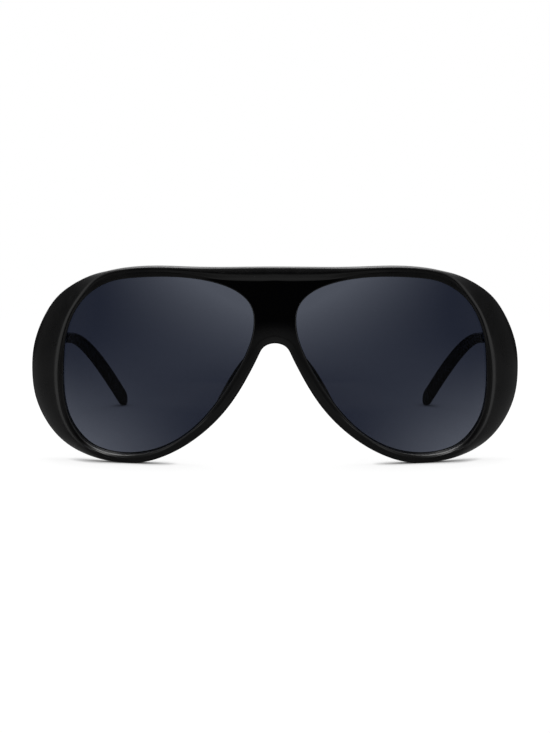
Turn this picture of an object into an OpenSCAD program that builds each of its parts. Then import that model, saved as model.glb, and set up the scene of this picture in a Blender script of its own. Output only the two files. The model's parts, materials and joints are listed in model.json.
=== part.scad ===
// Oversized pilot sunglasses: a moulded front with side wings, two lenses and two folding temples.
// Millimetres, +Z up, the wearer looks along -Y, the wearer's left is +X.
// The open glasses stand on the bottoms of both rims and on both temple tips.

/* [Lenses] */
// Width of a lens opening
lens_w = 59; // [57:0.5:61]
// Height of a lens opening
lens_h = 54.3; // [52:0.1:57]
// Thickness of a lens
lens_t = 2; // [1.8:0.1:2.2]
// Radius of the ball on which both lenses and the front lie
curve_r = 200; // [180:5:240]

/* [Front] */
// Distance between the lens openings across the bridge
bridge_w = 12.8; // [12:0.1:14]
// Depth of the rims from front to back
rim_t = 4.4; // [4.2:0.1:5]
// Width of the rim beside the lens, from the opening to the ridge
rim_w = 2.8; // [2.6:0.1:3.2]
// Height of the rim above the lens opening
brow_h = 3.3; // [3.1:0.1:3.7]
// Height of the rim below the lens opening
chin_h = 3.7; // [3.4:0.1:4.2]
// Height of the raised brow band over the bridge
band_h = 3.3; // [3:0.1:3.6]
// Depth of the bridge plate behind the brow band
recess_d = 0.9; // [0.7:0.05:1]
// Depth by which the bridge plate rolls back towards the nose arch
roll_depth = 1.3; // [0.8:0.1:1.5]
// Height of the rolled part of the bridge plate
roll_h = 7; // [5:0.5:9]
// Radius of the nose arch
arch_r = 5.1; // [4.8:0.1:5.4]

/* [Wings] */
// How far a side wing stands out from the ridge, seen from the front
wing_flare = 8.8; // [8:0.1:9.4]
// Length of a side wing from the ridge back
wing_depth = 16.7; // [16:0.1:18]
// Wall of a side wing
wing_wall = 3; // [2.6:0.1:3.2]

/* [Temples] */
// Thickness of a temple at the hinge
temple_t = 4.4; // [4.2:0.1:4.8]
// Height of a temple at the hinge
temple_h = 16; // [15:0.1:17]
// Thickness of a temple along the ear hook
hook_t = 2.9; // [2.7:0.1:3.2]
// Height of a temple where the ear hook starts
hook_h = 3.6; // [3.4:0.1:4.2]
// Height of the paddle at the temple tip
tip_h = 6.6; // [5.5:0.1:7]
// Downward slope of the straight part of a temple in degrees
temple_slope = 5.9; // [5.5:0.1:6.3]
// Length of a temple from its front end to the start of the ear hook
straight_l = 67.2; // [64:0.1:70]
// Radius of the ear hook seen from the side
hook_r = 100; // [90:1:110]
// Angle of the ear hook in degrees
hook_angle = 36.4; // [34:0.1:38]
// Length of the straight tip behind the ear hook
tip_l = 6; // [3:0.5:8]
// Radius on which the temple curves in behind the head, seen from above
inward_r = 286; // [270:2:320]
// Length over which the inward curve starts before the ear hook
inward_lead = 25; // [20:1:30]
// Diameter of the metal core inside a temple
core_d = 1.3; // [1.1:0.1:1.4]

/* [Hinges] */
// Diameter of a hinge barrel
barrel_d = 2.8; // [2.6:0.1:3]
// Height of one hinge barrel
barrel_h = 1.8; // [1.6:0.1:2]
// Diameter of the hinge screw
screw_d = 1.4; // [1.2:0.1:1.5]
// Running gap round the hinge screw in the temple barrel
screw_gap = 0.05; // [0.03:0.01:0.08]
// Length of a hinge leaf along the temple
leaf_l = 8; // [7.5:0.1:9]
// Thickness of a hinge leaf
leaf_t = 0.9; // [0.8:0.05:1]
// Gap between the ends of the wing and the temple when open
end_gap = 0.3; // [0.2:0.05:0.4]
// Diameter of a leaf screw
fix_d = 1.1; // [1:0.05:1.2]
// Length of a leaf screw under its head
fix_l = 2; // [1.6:0.1:2.2]

/* [Nose pads] */
// How far a nose pad stands out behind the rim
pad_h = 5.5; // [5:0.1:6.5]
// Width of a nose pad across its foot
pad_w = 3.4; // [3:0.1:3.6]

/* [Hidden] */

// Overrun of every cut
over = 1;
// Clearance of pieces that are let into a pocket
fit = 0.05;

// Lens openings
lens_x = (bridge_w + lens_w) / 2;
lens_z = chin_h + lens_h / 2;
half_w = bridge_w / 2 + lens_w + rim_w;
front_h = chin_h + lens_h + brow_h;
curve_z_share = 0.555;
curve_z = front_h * curve_z_share;

// The stations of a half front run round a lens from the top of the bridge, over the brow, down the side,
// back along the bottom and up to the nose arch, then up the middle of the bridge to the first one.
arch_at = 26;
stations = 30;
steps = 2;
// The brow band is upright before this station, and it turns upright again over the last ones to the arch
brow_end = 4;
arch_turn = 3;
// First and last station of a wing
wing_from = 7;
wing_to = 16;

// Lens opening: shares of half its width and half its height, from the lens centre
opening_shares = [
    [-0.810, 0.845], [-0.708, 0.897], [-0.539, 0.952], [-0.302, 0.991], [-0.031, 1.000], [0.224, 0.985],
    [0.444, 0.954], [0.630, 0.884], [0.785, 0.756], [0.895, 0.565], [0.978, 0.300], [1.000, 0.006],
    [0.998, -0.289], [0.940, -0.569], [0.824, -0.775], [0.680, -0.918], [0.478, -0.991],
    [0.258, -0.998], [0.037, -0.926], [-0.182, -0.792], [-0.386, -0.615], [-0.569, -0.416],
    [-0.719, -0.210], [-0.839, -0.010], [-0.919, 0.160], [-0.963, 0.297], [-0.986, 0.396],
    [-1.000, 0.514], [-0.983, 0.643], [-0.915, 0.761]];
// Outer edge of the rim: shares of the half width from the middle and of the height from the bottom
edge_shares = [
    [0, 1], [0.125, 0.999], [0.250, 0.996], [0.381, 0.994], [0.513, 0.997], [0.638, 0.991], [0.740, 0.972],
    [0.820, 0.936], [0.884, 0.842], [0.947, 0.747], [0.983, 0.627], [1.000, 0.502], [0.996, 0.375],
    [0.966, 0.266], [0.916, 0.168], [0.843, 0.090], [0.745, 0.024], [0.638, 0], [0.528, 0.028],
    [0.414, 0.091], [0.311, 0.177], [0.227, 0.273], [0.164, 0.371], [0.114, 0.468], [0.073, 0.556],
    [0.052, 0.599], [0, 0.620]];
// Width of the raised band and of its front facet: shares of the band height, which end at the nose arch
band_shares = [
    1, 1, 0.97, 0.64, 0.62, 0.60, 0.56, 0.50, 0.40, 0.44, 0.50, 0.52, 0.50, 0.46, 0.42, 0.44, 0.50, 0.66,
    0.74, 0.73, 0.73, 0.73, 0.73, 0.73, 0.73, 0.73, 0.73, 0.73, 0.73, 0.73];
facet_shares = [
    0.38, 0.38, 0.36, 0.30, 0.25, 0.24, 0.24, 0.25, 0.26, 0.29, 0.30, 0.31, 0.30, 0.28, 0.26, 0.25, 0.24,
    0.24, 0.27, 0.27, 0.27, 0.27, 0.27, 0.27, 0.27, 0.27, 0.27, 0.27, 0.27, 0.27];
// Depths below the ball, as shares of the recess: the lip, the foot of the band, its step and the ridge
lip_shares = [
    1, 1, 1, 0.75, 0.55, 0.50, 0.50, 0.50, 0.45, 0.45, 0.50, 0.50, 0.50, 0.50, 0.45, 0.45, 0.50, 0.50,
    0.50, 0.50, 0.50, 0.50, 0.60, 0.80, 0.95, 1, 1, 1, 1, 1];
plate_shares = [
    1, 1, 1, 0.60, 0.35, 0.30, 0.30, 0.30, 0.30, 0.30, 0.30, 0.30, 0.30, 0.30, 0.30, 0.30, 0.30, 0.25,
    0.25, 0.25, 0.25, 0.25, 0.40, 0.70, 0.95, 1, 1, 1, 1, 1];
step_shares = [
    0.40, 0.40, 0.38, 0.10, 0, 0, 0, 0, 0, 0, 0, 0, 0, 0, 0, 0, 0, 0, 0, 0, 0, 0, 0, 0, 0, 0, 0, 0, 0, 0];
ridge_shares = [
    0, 0, 0, 0, 0, 0, 0, 0, 0, 0, 0, 0, 0, 0, 0, 0, 0, 0, 0, 0, 0, 0, 0.20, 0.60, 0.90, 1, 1, 1, 1, 0];
roll_shares = [
    0, 0, 0, 0, 0, 0, 0, 0, 0, 0, 0, 0, 0, 0, 0, 0, 0, 0, 0, 0,
    0.10, 0.25, 0.45, 0.70, 0.90, 1, 1, 1, 1, 1];
// Side wing, from its first station to its last: its breadth as a share of the flare
wing_shares = [0.20, 0.45, 0.70, 0.90, 1, 0.97, 0.88, 0.73, 0.50, 0.19];
// Rear edge seen from the ridge: shares of the flare outwards and upwards, and of the depth
wing_rear_shares = [
    [0.20, 0.00, 0.14], [0.70, 0.02, 0.58], [0.87, -0.06, 0.94], [0.965, -0.05, 1.05],
    [0.99, -0.03, 0.92], [0.94, -0.23, 0.70], [0.79, -0.38, 0.54], [0.575, -0.445, 0.40],
    [0.32, -0.38, 0.24], [0.085, -0.17, 0.07]];
wing_wall_shares = [0.20, 0.75, 0.80, 1, 1.20, 1.20, 1, 0.90, 0.70, 0.25];
// Stations whose inner wall is the flat seat of the hinge
wing_seat_shares = [0, 0, 1, 1, 1, 0, 0, 0, 0, 0];
function on_wing(shares, none) = [for (i = [0 : stations - 1])
    i < wing_from || i > wing_to ? none : shares[i - wing_from]];
flare_shares = on_wing(wing_shares, 0);
rear_shares = on_wing(wing_rear_shares, [0, 0, 0]);
wall_shares = on_wing(wing_wall_shares, 0);
seat_shares = on_wing(wing_seat_shares, 0);
// Places of the five outer rails of a wing between the ridge and the rear edge
wing_out_shares = [0.20, 0.42, 0.64, 0.84, 1];
wing_back_shares = [0.18, 0.40, 0.62, 0.83, 1];
outer_rails = len(wing_out_shares);
// The side is divided into this many spans between the front and the back of the rim
side_spans = 9;
// The wing's wall bulges a little over the straight line between ridge and rear edge, most at this place
bulge_at = 0.75;
bulge_share = 0.08;
// Wall at the middle rail, and depths of the middle and the near rail, as shares
mid_wall_share = 0.9;
mid_share = 0.55;
near_share = 0.5;

// Rim section: lip, groove for the lens and rounded edges
lip_w = 0.4;
lip_round = 0.3;
edge_round = 0.35;
step_w = 0.25;
groove_d = 0.9;
groove_y = 1.65;
groove_fit = 0.15;
back_round = 0.3;
back_lip_w = 0.75;
root_share = 0.2;
// The lip's and the shoulder's extra points on their roundings: places and depths as shares
lip_mid_share = 0.45;
shoulder_share = 0.4;
round_share = 0.15;

// Hinge: the inner face of the wing's end stands out from the ridge, and the axis lies inside that face
butt_y = 29;
seat_w = 2;
pin_w = 0.5;
hinge_face_x = half_w + seat_w;
hinge_x = hinge_face_x - pin_w;
barrel_gap = 0.08;
stack_h = 3 * barrel_h + 2 * barrel_gap;
notch_gap = 0.25;
leaf_end_gap = 0.2;
fix_y = 4.6;
fix_z = 1.55;
fix_head_d = 1.9;
fix_head_h = 0.45;
screw_head_d = 2.2;
screw_head_h = 0.6;
slot_w = 0.3;
slot_d = 0.25;

// Temple: its line starts at the open end behind the wing
temple_x = hinge_face_x + temple_t / 2;
drift_w = 1.4;
drift_l = 32;
taper_l = 50;
thin_l = 42;
lean_share = 0.2;
lean_l = 28;
hook_l = hook_r * hook_angle * PI / 180;
temple_l = straight_l + hook_l + tip_l;
temple_sides = 20;
square_share = 3.2;
core_end = 12;
core_turn_l = 1;
core_sides = 10;
core_stations = 30;

// Smooth curve: a uniform cubic spline whose cage is set so that it passes through the given points
function wrapped(p, i) = p[(i + len(p)) % len(p)];
function cage(p) = [for (i = [0 : len(p) - 1])
    p[i] - (wrapped(p, i - 1) - 2 * p[i] + wrapped(p, i + 1)) / 6];
function cubic(a, b, c, d, t) = (a * pow(1 - t, 3) + b * (3 * pow(t, 3) - 6 * t * t + 4)
    + c * (1 + 3 * t + 3 * t * t - 3 * pow(t, 3)) + d * pow(t, 3)) / 6;
function along(c, u) = let (i = floor(u))
    cubic(wrapped(c, i - 1), wrapped(c, i), wrapped(c, i + 1), wrapped(c, i + 2), u - i);
function mix(a, b, t) = a + (b - a) * t;
function clamped(t) = max(0, min(1, t));
function eased(t) = let (c = clamped(t)) c * c * (3 - 2 * c);
function unit(v) = v / norm(v);
function times(a, b) = [for (i = [0 : len(a) - 1]) a[i] * b[i]];

opening_cage = cage(opening_shares);
mirrored_edge = [for (i = [3, 2, 1]) times([-1, 1], edge_shares[i])];
mirrored_end = [for (i = [1, 2, 3]) times([-1, 1], edge_shares[arch_at - i])];
edge_cage = cage(concat(mirrored_edge, edge_shares, mirrored_end));
band_cage = cage(band_shares);
facet_cage = cage(facet_shares);
lip_cage = cage(lip_shares);
plate_cage = cage(plate_shares);
step_cage = cage(step_shares);
ridge_cage = cage(ridge_shares);
roll_cage = cage(roll_shares);
flare_cage = cage(flare_shares);
rear_cage = cage(rear_shares);
wall_cage = cage(wall_shares);
seat_cage = cage(seat_shares);

// Depth in Y of a point of the front that lies the depth o below the ball
function ball(p, o) = curve_r - sqrt(pow(curve_r - o, 2) - p[0] * p[0] - pow(p[1] - curve_z, 2));
// Lens opening at station u and its outward normal
function opening(u) = [lens_x, lens_z] + times(along(opening_cage, u), [lens_w, lens_h] / 2);
tangent_step = 0.1;
function opening_out(u) = let (d = opening(u + tangent_step) - opening(u - tangent_step))
    unit([-d[1], d[0]]);
// Outer edge of the rim, which runs up the middle plane beyond the nose arch
arch_z = front_h * edge_shares[arch_at][1];
bridge_low = arch_z + band_h * band_shares[arch_at];
bridge_high = front_h - band_h;
function in_bridge(u) = u > arch_at;
function edge(u) = in_bridge(u)
    ? [0, mix(bridge_low, bridge_high, (u - arch_at) / (stations - arch_at))]
    : times(along(edge_cage, u + 3), [half_w, front_h]);
// Direction from the outer edge into the rim: straight down under the brow, straight up over the nose arch
function inward(u, a, b) = u < brow_end
    ? [0, -1]
    : unit(mix(unit(a - b), [0, 1], eased((u - arch_at + arch_turn) / arch_turn)));
function rolled(u, p, b) = let (
    arch = norm(p - [0, arch_z - arch_r]) - arch_r,
    d = in_bridge(u) ? arch : min(arch, norm(p - b)))
    roll_depth * max(0, along(roll_cage, u)) * pow(1 - clamped(d / roll_h), 2);

// A section of the half front at station u, from the lens groove over the front, the wing and the back
function section(u) = let (
    a = opening(u),
    m = opening_out(u),
    b = edge(u),
    n = inward(u, a, b),
    band = in_bridge(u) ? 0 : band_h * along(band_cage, u),
    facet = in_bridge(u) ? 0 : band_h * along(facet_cage, u),
    step_in = in_bridge(u) ? 0 : min(step_w, band - facet),
    round_in = in_bridge(u) ? 0 : edge_round,
    lip = a + m * lip_w,
    foot = b + n * band,
    lip_o = recess_d * along(lip_cage, u),
    plate_o = recess_d * along(plate_cage, u),
    step_o = recess_d * max(0, along(step_cage, u)),
    ridge_o = recess_d * max(0, along(ridge_cage, u)),
    one = mix(lip, foot, 1 / 3),
    two = mix(lip, foot, 2 / 3),
    brim = b + n * facet,
    shoulder = b + n * facet * shoulder_share,
    edge_o = ridge_o + rolled(u, b, b) + edge_round,
    back_o = rim_t - edge_round,
    groove_back = groove_y + lens_t + 2 * fit,
    flat = concat(
        [[a, groove_y], [a, lip_o + lip_round],
            [mix(a, lip, lip_mid_share), lip_o + lip_round * round_share],
            [lip, lip_o + rolled(u, lip, b)],
            [one, mix(lip_o, plate_o, 1 / 3) + rolled(u, one, b)],
            [two, mix(lip_o, plate_o, 2 / 3) + rolled(u, two, b)],
            [foot, plate_o + rolled(u, foot, b)],
            [foot - n * step_in, plate_o - step_o + rolled(u, foot, b)],
            [brim, ridge_o + rolled(u, brim, b)],
            [shoulder, ridge_o + rolled(u, shoulder, b) + edge_round * round_share],
            [b, edge_o]]),
    head = [for (q = flat) [q[0][0], ball(q[0], q[1]), q[0][1]]],
    side = wing(u, b, edge_o, back_o),
    root = b - n * (in_bridge(u) ? 0 : root_share * wing_flare * max(0, along(flare_cage, u))),
    back_in = root + n * round_in,
    back_lip = a + m * back_lip_w,
    hind = [[root, back_o], [back_in, rim_t], [mix(back_in, back_lip, 0.5), rim_t], [back_lip, rim_t],
         [a + m * back_round, rim_t], [a, rim_t - back_round],
        [a, groove_back], [a + m * groove_d, groove_back], [a + m * groove_d, groove_y]],
    tail = [for (q = hind) [q[0][0], ball(q[0], q[1]), q[0][1]]])
    concat(head, side, tail);

// The rails of the side wall: five outer ones to the rear edge of the wing and three inner ones
function wing(u, b, edge_o, back_o) = let (
    flare = wing_flare * max(0, along(flare_cage, u)),
    rear = times(along(rear_cage, u), [wing_flare, wing_flare, wing_depth]),
    on = flare > fit ? 1 : 0,
    out = unit(b - [lens_x, lens_z]),
    far = b + on * [rear[0], rear[1]],
    wide = mix(b, far, bulge_at) + out * bulge_share * flare,
    seat = clamped(along(seat_cage, u)),
    plain = wing_wall * max(0, along(wall_cage, u)),
    outer = [for (i = [0 : outer_rails - 1]) let (
        s = wing_out_shares[i],
        p = b * (s - 1) * (s - bulge_at) / bulge_at
            + wide * s * (1 - s) / (bulge_at * (1 - bulge_at))
            + far * s * (s - bulge_at) / (1 - bulge_at),
        o = mix(edge_o, back_o, (i + 1) / side_spans))
        [p[0], min(butt_face, ball(b, o) + on * rear[2] * wing_back_shares[i]), p[1]]],
    wall = on * mix(plain, to_seat(far, out), seat),
    mid_wall = on * mix(plain * mid_wall_share, max(wing_wall / 2, to_seat(outer[2], out)), seat),
    back = far - out * wall,
    mid = [outer[2][0], outer[2][2]] - out * mid_wall,
    root = b + out * root_share * flare,
    near = mix(root, mid, near_share),
    y_back = min(butt_face, ball(b, mix(edge_o, back_o, (outer_rails + 1) / side_spans)) + on * rear[2]),
    y_mid = mix(ball(b, back_o), y_back, mid_share),
    y_near = mix(ball(root, back_o), y_mid, near_share))
    concat(outer, [[back[0], y_back, back[1]], [mid[0], y_mid, mid[1]], [near[0], y_near, near[1]]]);
// Thickness of the wall between a point of the outside and the flat seat of the hinge
function to_seat(p, out) = (p[0] - hinge_face_x) / max(out[0], 0.5);

// Butt faces of the wing and of the temple, either side of the hinge axis
butt_face = butt_y - end_gap / 2;
temple_face = butt_y + end_gap / 2;

// Joins both halves along the middle plane, where neither half has a wall
half = [for (i = [0 : stations * steps - 1]) section(i / steps)];
rails = len(half[0]);
half_points = [for (s = half) for (p = s) [abs(p[0]) < 0.0001 ? 0 : p[0], p[1], max(0, p[2])]];
function corner(i, j) = (i % len(half)) * rails + j % rails;
function on_middle(f) = max([for (k = f) half_points[k][0]]) == 0;
half_faces = [for (i = [0 : len(half) - 1]) for (j = [0 : rails - 1])
    for (f = [[corner(i, j), corner(i + 1, j + 1), corner(i + 1, j)],
            [corner(i, j), corner(i, j + 1), corner(i + 1, j + 1)]])
        if (!on_middle(f)) f];

module front_frame() {
    color([0.07, 0.07, 0.08])
    difference() {
        polyhedron(
            points = concat(half_points, [for (p = half_points) [-p[0], p[1], p[2]]]),
            faces = concat(half_faces,
                [for (f = half_faces) [f[2], f[1], f[0]] + len(half_points) * [1, 1, 1]]),
            convexity = 10);
        for (side = [0, 1])
            mirror([side, 0, 0])
                at_hinge() {
                    hinge_pocket(-1);
                    fix_holes(-1);
                }
    }
}

// A lens is a slice of two balls with one centre, cut to the groove of its rim
module lens() {
    outline = [for (i = [0 : stations * steps - 1])
        opening(i / steps) + opening_out(i / steps) * (groove_d - groove_fit)];
    color([0.2, 0.21, 0.25, 0.85])
    intersection() {
        translate([0, curve_r, curve_z])
            difference() {
                sphere(r = curve_r - groove_y - fit, $fn = 200);
                sphere(r = curve_r - groove_y - fit - lens_t, $fn = 200);
            }
        translate([0, butt_y, 0])
            rotate([90, 0, 0])
                linear_extrude(butt_y + over)
                    polygon(outline);
    }
}

// Places its children at the hinge axis, at the middle height of the barrels
module at_hinge() {
    translate([hinge_x, butt_y, hinge_z])
        children();
}

// The plate of a temple leaf follows the slope of its temple
module along_leaf(way) {
    rotate([way > 0 ? -temple_slope : 0, 0, 0])
        mirror([0, way < 0 ? 1 : 0, 0])
            children();
}

module barrel_hole(gap) {
    cylinder(d = screw_d + 2 * gap, h = stack_h + 2 * over, center = true, $fn = 48);
}

// Pocket for a hinge leaf and notch round the barrels, behind (1) or in front of (-1) the axis
module hinge_pocket(way) {
    leaf_x = hinge_face_x - hinge_x;
    translate([0, 0, -stack_h / 2 - notch_gap])
        cylinder(r = barrel_d / 2 + notch_gap, h = stack_h + screw_head_h + 2 * notch_gap, $fn = 48);
    along_leaf(way)
        translate([leaf_x - over * 2, -over, -stack_h / 2 - fit])
            cube([leaf_t + fit + over * 2, leaf_l + fit + over, stack_h + 2 * fit]);
}

module fix_holes(way) {
    along_leaf(way)
        for (s = [-1, 1])
            translate([hinge_face_x - hinge_x, fix_y, s * fix_z])
                rotate([0, 90, 0])
                    cylinder(d = fix_d, h = leaf_t + fix_l - fix_head_h, $fn = 32);
}

// Leaf with its barrels, which stand above and below (outer) or between (inner)
module hinge_leaf(way, outer) {
    leaf_x = hinge_face_x - hinge_x;
    level = barrel_h + barrel_gap;
    color([0.75, 0.75, 0.77])
    difference() {
        union() {
            along_leaf(way)
                translate([leaf_x, leaf_end_gap, -stack_h / 2])
                    cube([leaf_t, leaf_l - leaf_end_gap, stack_h]);
            for (k = outer ? [-1, 1] : [0])
                translate([0, 0, k * level])
                    cylinder(d = barrel_d, h = barrel_h, center = true, $fn = 48);
        }
        // Room for the barrels of the other leaf
        for (k = outer ? [0] : [-1, 1])
            translate([0, 0, k * level])
                cylinder(d = barrel_d + 4 * barrel_gap, h = barrel_h + 2 * barrel_gap,
                    center = true, $fn = 48);
        barrel_hole(outer ? fit / 2 : screw_gap);
        along_leaf(way)
            for (s = [-1, 1])
                translate([leaf_x - over, fix_y, s * fix_z])
                    rotate([0, 90, 0]) {
                        cylinder(d = fix_d + fit, h = leaf_t + 2 * over, $fn = 32);
                        cylinder(d = fix_head_d + fit, h = fix_head_h + over, $fn = 32);
                    }
    }
}

module hinge_screw() {
    color([0.8, 0.8, 0.82])
    difference() {
        union() {
            translate([0, 0, -stack_h / 2])
                cylinder(d = screw_d, h = stack_h + screw_head_h / 2, $fn = 48);
            translate([0, 0, stack_h / 2])
                cylinder(d = screw_head_d, h = screw_head_h, $fn = 48);
        }
        translate([-slot_w / 2, -screw_head_d, stack_h / 2 + screw_head_h - slot_d])
            cube([slot_w, 2 * screw_head_d, slot_d + over]);
    }
}

module leaf_screws(way) {
    color([0.8, 0.8, 0.82])
    along_leaf(way)
        for (s = [-1, 1])
            translate([hinge_face_x - hinge_x, fix_y, s * fix_z])
                rotate([0, 90, 0]) {
                    cylinder(d = fix_head_d, h = fix_head_h, $fn = 32);
                    cylinder(d = fix_d - fit, h = leaf_t + fix_l - fix_head_h - fit, $fn = 32);
                }
}

// Line of a temple from the middle of its front end: place and downward angle at the length s
function temple_line(s) = let (
    bent = clamped((s - straight_l) / hook_l) * hook_angle,
    past = max(0, s - straight_l - hook_l),
    a = temple_slope + bent,
    flat = min(s, straight_l),
    y = temple_face + flat * cos(temple_slope)
        + hook_r * (sin(temple_slope + bent) - sin(temple_slope)) + past * cos(a),
    z = -flat * sin(temple_slope) - hook_r * (cos(temple_slope) - cos(temple_slope + bent)) - past * sin(a),
    lead = max(0, s - straight_l + inward_lead),
    x = temple_x - drift_w * eased(s / drift_l) - lead * lead / (2 * inward_r))
    [x, y, z, a];
// Lengths of the loops of a temple: even along it, then closing over the half-round end of the paddle
end_r = tip_h / 2;
end_turn = 80;
end_steps = 6;
body_steps = 38;
temple_lengths = concat(
    [for (i = [0 : body_steps]) (temple_l - end_r) * i / body_steps],
    [for (i = [1 : end_steps]) temple_l - end_r * (1 - sin(end_turn * i / end_steps))]);
function end_share(s) = sqrt(max(0, 1 - pow(max(0, s - temple_l + end_r) / end_r, 2)));
function temple_height(s) = s < taper_l
    ? hook_h + (temple_h - hook_h) * pow(1 - s / taper_l, 2)
    : hook_h + (tip_h - hook_h) * eased((s - straight_l) / (temple_l - straight_l));
function temple_thick(s) = mix(temple_t, hook_t, eased(s / thin_l));
function power(v, e) = sign(v) * pow(abs(v), e);
function temple_loop(s) = let (
    c = temple_line(s),
    h = temple_height(s) / 2 * end_share(s),
    t = temple_thick(s) / 2 * mix(1, end_share(s), 0.6),
    tilt = lean_share * (1 - eased(s / lean_l)),
    turn = c[3] * eased(s / taper_l))
    [for (k = [0 : temple_sides - 1]) let (
        g = 360 * k / temple_sides,
        across = t * power(cos(g), 2 / square_share),
        up = h * power(sin(g), 2 / square_share),
        slant = across > 0 ? -tilt * up : 0)
        [c[0] + across + slant, c[1] + up * sin(turn), c[2] + up * cos(turn)]];
temple_loops = [for (s = temple_lengths) temple_loop(s)];
// The hinge stands so high that the temple tips touch the floor
hinge_z = -min([for (l = temple_loops) for (p = l) p[2]]);
// The origin is the middle of the depth of the open glasses
front_y = -(min([for (p = half_points) p[1]]) + max([for (l = temple_loops) for (p = l) p[1]])) / 2;
// Round bar or channel along the line of a temple
function bar_loop(d, s) = let (c = temple_line(s))
    [for (k = [0 : core_sides - 1]) let (g = 360 * k / core_sides)
        [c[0] + d / 2 * cos(g), c[1] + d / 2 * sin(g) * sin(c[3] * clamped(s / core_turn_l)),
            c[2] + d / 2 * sin(g) * cos(c[3] * clamped(s / core_turn_l))]];
function bar_loops(d, s0, s1) = [for (i = [0 : core_stations]) bar_loop(d, mix(s0, s1, i / core_stations))];

// Faces of a skin over loops of n points each, from the point number at, and its closed ends
function skin_faces(count, n, at) = [for (i = [0 : count - 2]) for (k = [0 : n - 1])
    for (f = [[i * n + k, (i + 1) * n + (k + 1) % n, (i + 1) * n + k],
            [i * n + k, i * n + (k + 1) % n, (i + 1) * n + (k + 1) % n]]) at * [1, 1, 1] + f];
function cap(n, at) = [for (k = [0 : n - 1]) at + k];
function turned(f) = [for (k = [len(f) - 1 : -1 : 0]) f[k]];
module skin(loops) {
    n = len(loops[0]);
    polyhedron(
        points = [for (l = loops) for (p = l) p],
        faces = concat([turned(cap(n, 0))], skin_faces(len(loops), n, 0), [cap(n, (len(loops) - 1) * n)]),
        convexity = 6);
}

// A temple with the channel for its core wire, which opens in its front end, where each point of the
// channel is joined to two points of the outside
module temple() {
    inner = bar_loops(core_d + 2 * fit, 0, temple_l - core_end + fit);
    n = temple_sides;
    m = core_sides;
    at = len(temple_loops) * n;
    ring = [for (k = [0 : m - 1])
        for (f = [[2 * k, at + k, 2 * k + 1],
                [2 * k + 1, at + k, at + (k + 1) % m],
                [2 * k + 1, at + (k + 1) % m, (2 * k + 2) % n]]) f];
    color([0.07, 0.07, 0.08])
    difference() {
        translate([0, 0, hinge_z])
            polyhedron(
                points = [for (l = concat(temple_loops, inner)) for (p = l) p],
                faces = concat(ring, skin_faces(len(temple_loops), n, 0), [cap(n, at - n)],
                    [for (f = skin_faces(len(inner), m, at)) turned(f)],
                    [turned(cap(m, at + (len(inner) - 1) * m))]),
                convexity = 10);
        at_hinge() {
            hinge_pocket(1);
            fix_holes(1);
        }
    }
}

module core_wire() {
    color([0.78, 0.78, 0.8])
        translate([0, 0, hinge_z])
            skin(bar_loops(core_d, fit, temple_l - core_end));
}

// Pad on the back of the rim beside the nose arch
pad_from_share = 0.693;
pad_to_share = 0.8;
pad_stations = 16;
pad_sides = 14;
pad_out_share = 0.25;
pad_foot_share = 0.5;
function pad_loop(t) = let (
    u = stations * mix(pad_from_share, pad_to_share, t),
    a = opening(u),
    b = edge(u),
    n = inward(u, a, b),
    w = min(pad_w, norm(a - b)) * pow(max(0.02, sin(180 * clamped(mix(0.02, 0.98, t)))), 0.35),
    h = pad_h * pow(max(0.01, sin(180 * clamped(mix(0.02, 0.98, t)))), 0.8),
    c = b + n * (norm(a - b) * pad_foot_share))
    [for (k = [0 : pad_sides - 1]) let (
        g = 180 * k / (pad_sides - 1),
        across = w / 2 * power(cos(g), 0.8),
        deep = h * power(sin(g), 0.8),
        p = c - n * across + n * deep * pad_out_share,
        foot = c - n * across)
        [p[0], ball(foot, rim_t + fit) + deep, p[1]]];
module nose_pad() {
    color([0.09, 0.09, 0.1])
        skin([for (i = [0 : pad_stations]) pad_loop(i / pad_stations)]);
}

module placed() {
    translate([0, front_y, 0])
        children();
}
module right() {
    mirror([1, 0, 0])
        children();
}

placed() front_frame();
placed() lens();  // left_lens
placed() right() lens();  // right_lens
placed() nose_pad();  // left_nose_pad
placed() right() nose_pad();  // right_nose_pad
placed() at_hinge() hinge_leaf(-1, true);  // left_front_hinge_leaf
placed() right() at_hinge() hinge_leaf(-1, true);  // right_front_hinge_leaf
placed() at_hinge() hinge_leaf(1, false);  // left_temple_hinge_leaf
placed() right() at_hinge() hinge_leaf(1, false);  // right_temple_hinge_leaf
placed() at_hinge() hinge_screw();  // left_hinge_screw
placed() right() at_hinge() hinge_screw();  // right_hinge_screw
placed() at_hinge() leaf_screws(-1);  // left_front_leaf_screws
placed() right() at_hinge() leaf_screws(-1);  // right_front_leaf_screws
placed() at_hinge() leaf_screws(1);  // left_temple_leaf_screws
placed() right() at_hinge() leaf_screws(1);  // right_temple_leaf_screws
placed() core_wire();  // left_core_wire
placed() right() core_wire();  // right_core_wire
placed() temple();  // left_temple
placed() right() temple();  // right_temple
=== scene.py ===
"""Looks of a pair of oversized pilot sunglasses: a moulded black front, tinted lenses and folding temples."""

import json
import math

import bmesh
import bpy
from bpy.props import FloatProperty, FloatVectorProperty, PointerProperty
from mathutils import Matrix, Vector

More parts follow.
